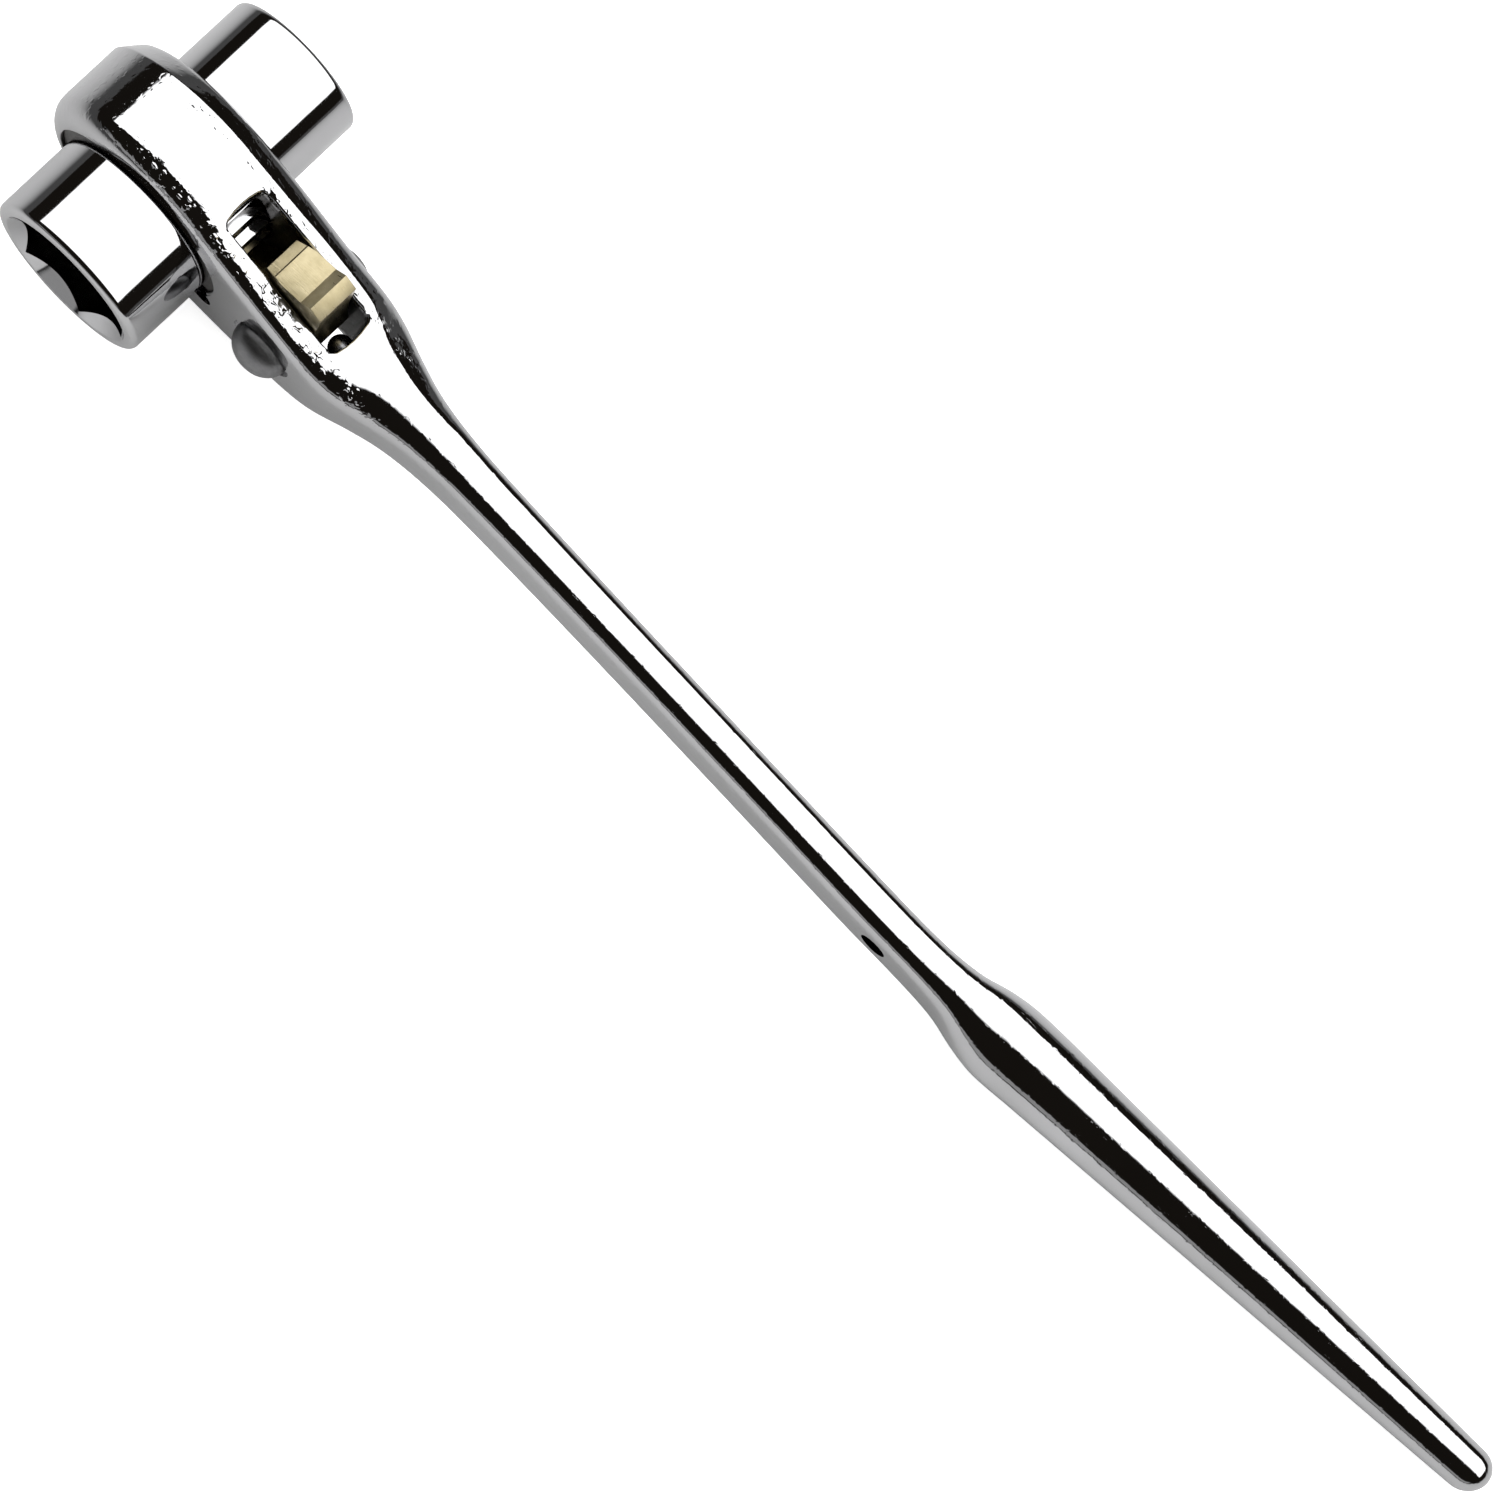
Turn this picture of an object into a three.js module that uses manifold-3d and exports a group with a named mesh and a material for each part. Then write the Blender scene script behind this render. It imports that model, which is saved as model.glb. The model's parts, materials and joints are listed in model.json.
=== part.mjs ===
// Reversible ratchet wrench with a double-ended socket and a podger spike handle.
// Millimetres. The wrench is drawn straight: X runs from the head to the spike's tip, Y is the
// socket axis and Z points out of the pawl window. layDown() then rests it on its head and tip.
import * as THREE from 'three';
import { mergeVertices } from 'three/addons/utils/BufferGeometryUtils.js';
import Module from 'manifold-3d';

const wasm = await Module();
wasm.setup();

// ---- driving dimensions ----
const headRadius = 21.5;
const headFaces = { low: -9.1, high: 10.2 };
const rimEdges = { low: [4.6, 5.0], high: [1.8, 3.4] };   // how far each edge round reaches in R and Y
const neckFaces = { low: -9.6, high: 9.4 };
const tipX = 298.5;

const gearTeeth = 24;
const gearTipRadius = 17;
const gearRootRadius = 15.35;
const gearHalfWidth = 4.5;
const toothTipAngle = 4;      // degrees of the pitch taken by a tooth's land
const toothRootAngle = 3.8;   // degrees taken by the floor of a gap

const largeSocket = { radius: 15.5, mouthY: -25, hexAcross: 22.2, depth: 17 };
const smallSocket = { radius: 13.3, mouthY: 26.9, hexAcross: 19.2, depth: 18 };
const throughHoleRadius = 8.6;
const mouthRound = 1.1;
const hexTurn = 37;           // degrees the hexes stand turned about the socket axis

const boreRadius = 17.3;
const shoulderY = 4.8;        // the bore ends here, and the wall beyond carries the small socket
const shoulderHoleRadius = 13.85;
const grooveRadius = 18.3;
const ringThickness = 0.9;
const ringFaceY = -8.3;
const seatGap = 0.3;

const windowStart = 11.5;
const windowEnd = 37.6;
const windowHalfWidth = 4.3;
const windowBulge = 0.7;

const pinX = 29.2;
const pinRadius = 2.5;
const rivetSeat = { radius: 6.1, depth: 0.4 };
const pawlSwing = 17.15;      // degrees from neutral to either engaged seat
const pawlHalfWidth = 3.97;
const hubRadius = 6.3;
const claw = { gapAngle: 30, tipRadius: 15.6, tipHalfWidth: 0.34, depth: 1.7, flank: 33 };

const plungerRadius = 2.2;
const plungerHoleRadius = 2.45;
const plungerHoleEnd = 52;
const lanyard = { x: 166, radius: 2.5 };

const roundSteps = 64;
const degrees = Math.PI / 180;
const polar = (radius, angle) => [radius * Math.cos(angle * degrees), radius * Math.sin(angle * degrees)];

// ---- materials ----
const finish = (name, color, roughness, metalness) => {
  const material = new THREE.MeshStandardMaterial({ color, roughness, metalness });
  material.name = name;
  return material;
};
const chrome = finish('forged_chrome', 0xd9dadd, 0.09, 1);
const socketChrome = finish('socket_chrome', 0xe2e3e6, 0.06, 1);
const nickel = finish('nickel_pawl', 0xc9ba94, 0.32, 1);
const rivetSteel = finish('rivet_steel', 0x8c8e90, 0.3, 1);
const springSteel = finish('spring_steel', 0x55585c, 0.35, 1);

// ---- solids ----
function toSolid(geometry) {
  const bare = geometry.clone();
  for (const name of ['normal', 'uv']) bare.deleteAttribute(name);
  const merged = mergeVertices(bare, 1e-4);
  const corners = merged.index.array;
  const triangles = [];
  for (let i = 0; i < corners.length; i += 3) {
    const [a, b, c] = corners.subarray(i, i + 3);
    if (a !== b && b !== c && c !== a) triangles.push(a, b, c);
  }
  return new wasm.Manifold(new wasm.Mesh({
    numProp: 3,
    vertProperties: new Float32Array(merged.attributes.position.array),
    triVerts: new Uint32Array(triangles),
  }));
}

function toGeometry(solid) {
  const mesh = solid.getMesh();
  const geometry = new THREE.BufferGeometry();
  geometry.setAttribute('position', new THREE.BufferAttribute(mesh.vertProperties, 3));
  geometry.setIndex(new THREE.BufferAttribute(mesh.triVerts, 1));
  geometry.computeVertexNormals();
  return geometry;
}

function piece(name, solid, material) {
  const mesh = new THREE.Mesh(toGeometry(solid), material);
  mesh.name = name;
  return mesh;
}

// A profile of [radius, y] points turned about Y. The points run from low y to high y.
function turned(profile, steps = roundSteps) {
  return toSolid(new THREE.LatheGeometry(profile.map(([r, y]) => new THREE.Vector2(r, y)), steps));
}

function disc(radius, fromY, toY, steps = roundSteps) {
  return turned([[0, fromY], [radius, fromY], [radius, toY], [0, toY]], steps);
}

function tube(inner, outer, fromY, toY) {
  const corners = [[inner, fromY], [outer, fromY], [outer, toY], [inner, toY], [inner, fromY]];
  return turned(corners);
}

// A quarter round from `start` degrees to `end` degrees about a centre, as profile points.
function arc([r, y], radius, start, end, steps = 4) {
  return Array.from({ length: steps + 1 }, (_, i) => {
    const angle = (start + (end - start) * i / steps) * degrees;
    return [r + radius * Math.cos(angle), y + radius * Math.sin(angle)];
  });
}

// An outline drawn in X and Z, pushed along Y.
function slabAcrossY(shape, fromY, toY, curveSegments = 12) {
  const settings = { depth: toY - fromY, bevelEnabled: false, curveSegments };
  const geometry = new THREE.ExtrudeGeometry(shape, settings);
  geometry.rotateX(Math.PI / 2);
  geometry.translate(0, toY, 0);
  return toSolid(geometry);
}

// ---- forged body ----
// Stations along the handle: x, low Y, high Y, half height in Z, corner radius on each Y side.
const stations = [
  [6.9, -9.1, 10.0, 20.2, 4.4, 2.2],
  [16, -9.4, 9.8, 17.6, 3.8, 2.2],
  [27, neckFaces.low, neckFaces.high, 14.3, 3.0, 2.3],
  [37, neckFaces.low, neckFaces.high, 11.2, 2.5, 2.4],
  [42, -9.1, 9.1, 10.0, 2.4, 2.4],
  [48, -7.4, 7.3, 9.0, 2.2, 2.2],
  [54, -5.8, 5.7, 8.2, 2.0, 2.0],
  [61, -4.75, 4.6, 7.6, 1.9, 1.9],
  [70, -4.2, 4.2, 7.2, 1.9, 1.9],
  [95, -3.85, 3.95, 7.0, 1.9, 1.9],
  [130, -3.8, 3.75, 7.0, 1.9, 1.9],
  [160, -3.95, 3.75, 7.0, 1.9, 1.9],
  [173, -3.75, 4.05, 7.0, 2.2, 2.2],
  [181, -4.15, 5.15, 7.15, 3.2, 3.2],
  [187, -5.6, 7.35, 7.3, 5.0, 5.0],
  [192, -6.3, 8.6, 7.45, 7.2, 7.2],
];
// Past the shoulder the handle is a round spike that leans toward +Y and ends in a dome.
const spike = { startX: 200, startY: 1.8, radius: 7.3, tipRadius: 3.8, lean: 0.0728, dome: 4 };
const spikeStations = [200, 225, 250, 275].concat([1, 0.6, 0.3, 0.1, 0].map(step => tipX - spike.dome * step));
for (const x of spikeStations) stations.push(spikeStation(x));

function spikeStation(x) {
  const along = (x - spike.startX) / (tipX - spike.startX);
  const cone = spike.radius + (spike.tipRadius - spike.radius) * along;
  const intoDome = Math.max(0, (x - (tipX - spike.dome)) / spike.dome);
  const radius = cone * Math.sqrt(Math.max(0.02, 1 - intoDome ** 2));
  const middle = spike.startY + (x - spike.startX) * spike.lean;
  return [x, middle - radius, middle + radius, radius, radius - 0.15, radius - 0.15];
}

// A tube whose rings follow the stations: each ring is a rectangle with four round corners.
function handleLoft() {
  const corner = 6;
  const around = 4 * (corner + 1);
  const follow = pick => new THREE.CatmullRomCurve3(
    stations.map(station => new THREE.Vector3(station[0], ...pick(station))), false, 'catmullrom', 0.5);
  const sides = follow(([, low, high]) => [low, high]);
  const heights = follow(([, , , height]) => [height, 0]);
  const corners = follow(([, , , , low, high]) => [low, high]);
  const along = 3 * (stations.length - 1);
  const geometry = new THREE.CylinderGeometry(1, 1, 1, around, along, false);
  const place = geometry.attributes.position;
  for (let i = 0; i < place.count; i++) {
    const u = 0.5 - place.getY(i);
    const { x, y: lowY, z: highY } = sides.getPoint(u);
    const { y: height } = heights.getPoint(u);
    const { y: lowCorner, z: highCorner } = corners.getPoint(u);
    const [a, b] = [place.getX(i), place.getZ(i)];
    if (Math.hypot(a, b) < 1e-6) {
      place.setXYZ(i, x, (lowY + highY) / 2, 0);
      continue;
    }
    const turn = Math.round((Math.atan2(a, b) / (2 * Math.PI) + 1) * around) % around;
    const quarter = Math.floor(turn / (corner + 1));
    const angle = (quarter + (turn % (corner + 1)) / corner) * Math.PI / 2;
    const onHighSide = quarter === 0 || quarter === 3;
    const radius = onHighSide ? highCorner : lowCorner;
    const centreY = onHighSide ? highY - radius : lowY + radius;
    const centreZ = (quarter < 2 ? 1 : -1) * (height - radius);
    place.setXYZ(i, x, centreY + radius * Math.cos(angle), centreZ + radius * Math.sin(angle));
  }
  const solid = toSolid(geometry);
  return solid.volume() < 0 ? toSolid(flipped(geometry)) : solid;
}

function flipped(geometry) {
  const index = geometry.index.array;
  for (let i = 0; i < index.length; i += 3) {
    [index[i], index[i + 1]] = [index[i + 1], index[i]];
  }
  return geometry;
}

function headDrum() {
  const quarter = ([reach, drop], face) => Array.from({ length: 7 }, (_, i) => {
    const angle = i / 6 * Math.PI / 2;
    const y = face - Math.sign(face) * drop * (1 - Math.cos(angle));
    return [headRadius - reach * (1 - Math.sin(angle)), y];
  });
  const low = quarter(rimEdges.low, headFaces.low);
  const high = quarter(rimEdges.high, headFaces.high).reverse();
  return turned([[0, headFaces.low], ...low, ...high, [0, headFaces.high]], 80);
}

function windowSlot() {
  const outline = new THREE.Shape();
  outline.moveTo(windowStart, -windowHalfWidth);
  outline.lineTo(windowEnd, -windowHalfWidth);
  outline.quadraticCurveTo(windowEnd + 2 * windowBulge, 0, windowEnd, windowHalfWidth);
  outline.lineTo(windowStart, windowHalfWidth);
  outline.quadraticCurveTo(windowStart - 2 * windowBulge, 0, windowStart, -windowHalfWidth);
  const reach = headRadius + 4;
  const settings = { depth: 2 * reach, bevelEnabled: false, curveSegments: 6 };
  return toSolid(new THREE.ExtrudeGeometry(outline, settings).translate(0, 0, -reach));
}

function forgedBody() {
  const bore = disc(boreRadius, headFaces.low - 5, shoulderY, 80);
  const shoulderHole = disc(shoulderHoleRadius, 0, headFaces.high + 5, 80);
  const grooveWidth = ringThickness + 0.3;
  const groove = disc(grooveRadius, ringFaceY - 0.15, ringFaceY - 0.15 + grooveWidth, 80);
  const pryAngle = -21 * degrees;
  const pryNotch = disc(2.1, headFaces.low - 2, ringFaceY + ringThickness + 0.15, 24)
    .translate([17.6 * Math.cos(pryAngle), 0, 17.6 * Math.sin(pryAngle)]);
  const pinHole = disc(pinRadius + 0.25, neckFaces.low - 2, neckFaces.high + 2, 24)
    .translate([pinX, 0, 0]);
  const headSeat = disc(rivetSeat.radius, neckFaces.low - 2, neckFaces.low + rivetSeat.depth, 32)
    .translate([pinX, 0, 0]);
  const plungerHole = toSolid(new THREE.CylinderGeometry(plungerHoleRadius, plungerHoleRadius,
    plungerHoleEnd - 34, 24).rotateZ(Math.PI / 2).translate((plungerHoleEnd + 34) / 2, 0, 0));
  const lanyardHole = disc(lanyard.radius, -12, 12, 24).translate([lanyard.x, 0, 0]);
  const cuts = [bore, shoulderHole, groove, pryNotch, windowSlot(), pinHole, headSeat,
    plungerHole, lanyardHole];
  return cuts.reduce((body, cut) => body.subtract(cut), headDrum().add(handleLoft()));
}

// ---- double-ended socket and ratchet wheel ----
function ratchetWheel() {
  const pitch = 360 / gearTeeth;
  const corners = Array.from({ length: gearTeeth }, (_, tooth) => {
    const centre = (tooth + 0.5) * pitch;
    return [
      [gearRootRadius, centre - pitch / 2 + toothRootAngle / 2],
      [gearTipRadius, centre - toothTipAngle / 2],
      [gearTipRadius, centre + toothTipAngle / 2],
      [gearRootRadius, centre + pitch / 2 - toothRootAngle / 2],
    ];
  });
  const points = corners.flat().map(([radius, angle]) => new THREE.Vector2(...polar(radius, angle)));
  return slabAcrossY(new THREE.Shape(points), -gearHalfWidth, gearHalfWidth);
}

// The hex hole of a socket, with the round lead-in that guides it onto a nut.
function hexRecess({ radius, mouthY, hexAcross, depth }) {
  const out = Math.sign(mouthY);
  const cornerRadius = hexAcross / Math.sqrt(3);
  const hex = new THREE.CylinderGeometry(cornerRadius, cornerRadius, depth + 4, 6)
    .rotateY(hexTurn * degrees)
    .translate(0, mouthY - out * (depth / 2 - 2), 0);
  const lead = new THREE.CylinderGeometry(cornerRadius + 0.5, hexAcross / 2 - 0.4, 2.4, roundSteps);
  if (out < 0) lead.rotateX(Math.PI);
  lead.translate(0, mouthY - out * 0.9, 0);
  return toSolid(hex).add(toSolid(lead));
}

function doubleSocket() {
  const { radius: big, mouthY: bigY } = largeSocket;
  const { radius: small, mouthY: smallY } = smallSocket;
  const barrel = turned([
    [0, bigY],
    ...arc([big - mouthRound, bigY + mouthRound], mouthRound, -90, 0),
    [big + 0.1, -gearHalfWidth],
    [gearRootRadius - 0.1, -gearHalfWidth + 0.2],
    [gearRootRadius - 0.1, gearHalfWidth - 0.2],
    [small + 0.1, gearHalfWidth],
    ...arc([small - mouthRound, smallY - mouthRound], mouthRound, 0, 90),
    [0, smallY],
  ], 80);
  const through = disc(throughHoleRadius, -20, 20, 32);
  return barrel.add(ratchetWheel()).subtract(through)
    .subtract(hexRecess(largeSocket)).subtract(hexRecess(smallSocket));
}

// ---- washer and ring that keep the wheel in the bore ----
function coverWasher() {
  return tube(15.85, boreRadius - 0.25, -7.1, -gearHalfWidth - seatGap);
}

function retainingRing() {
  const gap = 26 * degrees;
  const start = -21 * degrees + gap / 2;
  const end = -21 * degrees - gap / 2 + 2 * Math.PI;
  const outline = new THREE.Shape();
  outline.absarc(0, 0, grooveRadius - seatGap, start, end, false);
  outline.absarc(0, 0, 16.2, end, start, true);
  return slabAcrossY(outline, ringFaceY, ringFaceY + ringThickness, 64);
}

// ---- pawl ----
const turnedBy = ([x, z], angle) => {
  const [c, s] = [Math.cos(angle * degrees), Math.sin(angle * degrees)];
  return [x * c + z * s, -x * s + z * c];
};

// A point of the seated upper claw, `out` mm up its beak and `side` mm across it, drawn at neutral.
function clawPoint(out, side) {
  const angle = claw.gapAngle * degrees;
  const radius = claw.tipRadius + out;
  const x = radius * Math.cos(angle) - side * Math.sin(angle) - pinX;
  const z = radius * Math.sin(angle) + side * Math.cos(angle);
  return turnedBy([x, z], pawlSwing);
}

function pawlOutline() {
  const spread = claw.depth * Math.tan(claw.flank * degrees) + claw.tipHalfWidth;
  const beak = [
    clawPoint(claw.depth, -spread),
    clawPoint(0, -claw.tipHalfWidth),
    clawPoint(0, claw.tipHalfWidth),
    clawPoint(claw.depth, spread),
  ];
  const thumbLever = [[-11.3, 14.3], [-6.5, 17.9], [-5.4, 20.5], [-2.5, 19.9]];
  const rear = [[1.2, 10.5], [3.6, 5.6]];
  const upper = [...beak, ...thumbLever, ...rear];
  const lower = upper.map(([x, z]) => [x, -z]).reverse();
  const outline = new THREE.Shape();
  outline.moveTo(...upper[0]);
  for (const point of upper.slice(1)) outline.lineTo(...point);
  const cam = 12;                       // the cam's crest and ends lie this far round the hub
  const valley = hubRadius - 0.6;
  outline.lineTo(...polar(hubRadius, 2 * pawlSwing));
  outline.quadraticCurveTo(...polar(valley - 0.2, pawlSwing), ...polar(hubRadius, 0));
  outline.quadraticCurveTo(...polar(valley - 0.2, -pawlSwing), ...polar(hubRadius, -2 * pawlSwing));
  for (const point of lower) outline.lineTo(...point);
  outline.quadraticCurveTo(-6, 0, ...upper[0]);
  return outline;
}

// What the pawl may fill seen from above: full width at the hub, tapering out to the claws.
function pawlPlan() {
  const reach = 30;
  const edge = [[12, pawlHalfWidth], [-10, pawlHalfWidth], [-16, pawlHalfWidth - 1.4]];
  const outline = [...edge, ...edge.map(([x, y]) => [x, -y]).reverse()];
  const shape = new THREE.Shape(outline.map(point => new THREE.Vector2(...point)));
  const settings = { depth: 2 * reach, bevelEnabled: false };
  return toSolid(new THREE.ExtrudeGeometry(shape, settings).translate(0, 0, -reach));
}

function pawl() {
  return slabAcrossY(pawlOutline(), -pawlHalfWidth, pawlHalfWidth, 10)
    .intersect(pawlPlan())
    .subtract(disc(pinRadius + 0.15, neckFaces.low, neckFaces.high, 24))
    .rotate([0, pawlSwing, 0])
    .translate([pinX, 0, 0]);
}

// ---- rivet, plunger and spring ----
function pawlRivet() {
  const low = { radius: 5.3, rise: 4.4, y: neckFaces.low + rivetSeat.depth - 0.1, side: -1 };
  const high = { radius: 4.3, rise: 2.7, y: neckFaces.high + 0.1, side: 1 };
  const dome = ({ radius, rise, y, side }) => Array.from({ length: 7 }, (_, i) => {
    const angle = (side < 0 ? i : 6 - i) / 6 * Math.PI / 2;
    return [radius * Math.sin(angle), y + side * rise * Math.cos(angle)];
  });
  return turned([...dome(low), [pinRadius, low.y], [pinRadius, high.y], ...dome(high)], 32)
    .translate([pinX, 0, 0]);
}

const plungerNoseX = pinX + hubRadius + 0.12;
const plungerLength = 8;

function plunger() {
  const nose = arc([0, plungerRadius], plungerRadius, -90, 0, 5).map(([r, y]) => [Math.max(r, 0), y]);
  nose[0] = [0, 0];
  const profile = [...nose, [plungerRadius, plungerLength], [0, plungerLength]];
  return turned(profile, 24).rotate([0, 0, -90]).translate([plungerNoseX, 0, 0]);
}

class Helix extends THREE.Curve {
  constructor(radius, length, turns) {
    super();
    Object.assign(this, { radius, length, turns });
  }

  getPoint(t, target = new THREE.Vector3()) {
    const angle = t * this.turns * 2 * Math.PI;
    return target.set(t * this.length, this.radius * Math.cos(angle), this.radius * Math.sin(angle));
  }
}

function plungerSpring() {
  const wire = 0.3;
  const start = plungerNoseX + plungerLength + 0.1 + wire;
  const end = plungerHoleEnd - 0.1 - wire;
  const coil = new Helix(1.75, end - start, 6);
  const section = new THREE.Shape();
  section.absarc(0, 0, wire, 0, 2 * Math.PI);
  const settings = { steps: 72, extrudePath: coil, curveSegments: 3, bevelEnabled: false };
  return toSolid(new THREE.ExtrudeGeometry(section, settings)).translate([start, 0, 0]);
}

// ---- assembly ----
function layDown(wrench) {
  wrench.rotation.y = Math.asin((headRadius - spike.tipRadius) / (tipX - spike.dome));
  wrench.updateMatrixWorld(true);
  const extent = new THREE.Box3().setFromObject(wrench, true);
  const middle = extent.getCenter(new THREE.Vector3());
  wrench.position.set(-middle.x, -middle.y, -extent.min.z);
  return wrench;
}

const wrench = new THREE.Group();
wrench.add(
  piece('forged_body', forgedBody(), chrome),
  piece('double_socket', doubleSocket(), socketChrome),
  piece('cover_washer', coverWasher(), springSteel),
  piece('retaining_ring', retainingRing(), springSteel),
  piece('pawl', pawl(), nickel),
  piece('pawl_rivet', pawlRivet(), rivetSteel),
  piece('plunger', plunger(), springSteel),
  piece('plunger_spring', plungerSpring(), springSteel),
);

export default new THREE.Group().add(layDown(wrench));
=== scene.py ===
import json
import math

import bmesh
import bpy
from mathutils import Matrix, Vector, noise


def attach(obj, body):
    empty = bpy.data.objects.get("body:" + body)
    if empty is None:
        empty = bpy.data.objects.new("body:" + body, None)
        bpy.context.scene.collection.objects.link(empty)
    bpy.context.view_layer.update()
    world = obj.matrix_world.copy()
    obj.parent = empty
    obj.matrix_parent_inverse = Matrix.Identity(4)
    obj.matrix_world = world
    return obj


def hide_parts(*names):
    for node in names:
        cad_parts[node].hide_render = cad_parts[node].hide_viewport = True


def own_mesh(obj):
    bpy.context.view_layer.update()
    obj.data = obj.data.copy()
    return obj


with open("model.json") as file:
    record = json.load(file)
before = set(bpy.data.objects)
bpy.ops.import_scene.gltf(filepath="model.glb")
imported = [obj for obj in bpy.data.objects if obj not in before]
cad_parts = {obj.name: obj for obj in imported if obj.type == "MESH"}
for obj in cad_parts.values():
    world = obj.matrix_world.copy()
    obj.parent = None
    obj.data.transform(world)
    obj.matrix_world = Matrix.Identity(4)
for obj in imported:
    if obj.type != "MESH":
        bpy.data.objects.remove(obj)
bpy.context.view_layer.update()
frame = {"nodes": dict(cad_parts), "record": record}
joints = {joint["name"]: joint for joint in frame["record"]["behaviour"]["joints"]}

# Pieces are drawn in millimetres on a straight wrench: X runs from the head to the spike's tip,
# Y is the socket axis and Z points out of the pawl window. layDown puts them where the CAD lies.
headCentre = Vector(joints["socket_spin"]["pos_m"])
pinCentre = Vector(joints["pawl_rock"]["pos_m"])
pinX = (pinCentre - headCentre).length * 1000
lieAngle = math.atan2(headCentre.z - pinCentre.z, pinCentre.x - headCentre.x)
layDown = Matrix.Translation(headCentre) @ Matrix.Rotation(lieAngle, 4, "Y") @ Matrix.Scale(0.001, 4)
fullTurn = 2 * math.pi


# Helpers that every piece uses.
def chain(bm, points):
    verts = [bm.verts.new(point) for point in points]
    return verts, [bm.edges.new(pair) for pair in zip(verts, verts[1:])]


def turned(profile, steps, turn=fullTurn):
    bm = bmesh.new()
    verts, edges = chain(bm, [(radius, y, 0) for radius, y in profile])
    bmesh.ops.spin(bm, geom=verts + edges, axis=(0, 1, 0), cent=(0, 0, 0), steps=steps,
                   angle=turn, use_merge=turn == fullTurn)
    bmesh.ops.remove_doubles(bm, verts=bm.verts, dist=1e-4)
    bmesh.ops.recalc_face_normals(bm, faces=bm.faces)
    return bm


def unit(value):
    return max(0.0, min(1.0, value))


def arcPoints(centre, reach, start, end, steps):
    points = []
    for i in range(steps + 1):
        angle = math.radians(start + (end - start) * i / steps)
        points.append((centre[0] + reach[0] * math.cos(angle), centre[1] + reach[1] * math.sin(angle)))
    return points


def meshObject(name, bm):
    mesh = bpy.data.meshes.new(name)
    bm.to_mesh(mesh)
    bm.free()
    piece = bpy.data.objects.new(name, mesh)
    bpy.context.scene.collection.objects.link(piece)
    return piece


def cut(piece, cutter):
    tool = meshObject("cutter", cutter)
    step = piece.modifiers.new("cut", "BOOLEAN")
    step.object, step.operation, step.solver = tool, "DIFFERENCE", "EXACT"
    graph = bpy.context.evaluated_depsgraph_get()
    result = bpy.data.meshes.new_from_object(piece.evaluated_get(graph))
    piece.modifiers.clear()
    piece.data = result
    bpy.data.objects.remove(tool)


def finishPiece(piece, material, body, nodes=(), sharp=32):
    mesh = piece.data
    mesh.transform(layDown)
    mesh.materials.clear()
    mesh.materials.append(material)
    mesh.polygons.foreach_set("use_smooth", [True] * len(mesh.polygons))
    mesh.set_sharp_from_angle(angle=math.radians(sharp))
    mesh.update()
    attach(piece, body)
    if nodes:
        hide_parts(*nodes)
    print("made", piece.name, len(mesh.polygons))


# Helpers that build materials.
def shaderGroup(name, inputs, outputs):
    group = bpy.data.node_groups.new(name, "ShaderNodeTree")
    for label, kind, value in inputs:
        socket = group.interface.new_socket(label, in_out="INPUT", socket_type=kind)
        if value is not None:
            socket.default_value = value
    for label, kind in outputs:
        group.interface.new_socket(label, in_out="OUTPUT", socket_type=kind)
    source = group.nodes.new("NodeGroupInput")
    sink = group.nodes.new("NodeGroupOutput")
    return group, source, sink


def addNode(tree, kind, **settings):
    node = tree.nodes.new(kind)
    for key, value in settings.items():
        if key.startswith("in_"):
            node.inputs[key[3:].replace("_", " ")].default_value = value
        else:
            setattr(node, key, value)
    return node


def addMath(tree, operation, first, second=None, clamp=False):
    node = tree.nodes.new("ShaderNodeMath")
    node.operation, node.use_clamp = operation, clamp
    for socket, value in zip(node.inputs, (first, second)):
        if value is None:
            continue
        if isinstance(value, (int, float)):
            socket.default_value = value
        else:
            tree.links.new(value, socket)
    return node.outputs[0]


def remap(tree, value, low, high, toLow, toHigh):
    node = tree.nodes.new("ShaderNodeMapRange")
    tree.links.new(value, node.inputs["Value"])
    for label, number in zip(("From Min", "From Max", "To Min", "To Max"), (low, high, toLow, toHigh)):
        node.inputs[label].default_value = number
    return node.outputs["Result"]


def noiseAt(tree, vector, scale, detail=3.0, rough=0.5):
    node = addNode(tree, "ShaderNodeTexNoise", in_Scale=scale, in_Detail=detail, in_Roughness=rough)
    tree.links.new(vector, node.inputs["Vector"])
    return node.outputs["Fac"]


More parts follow.
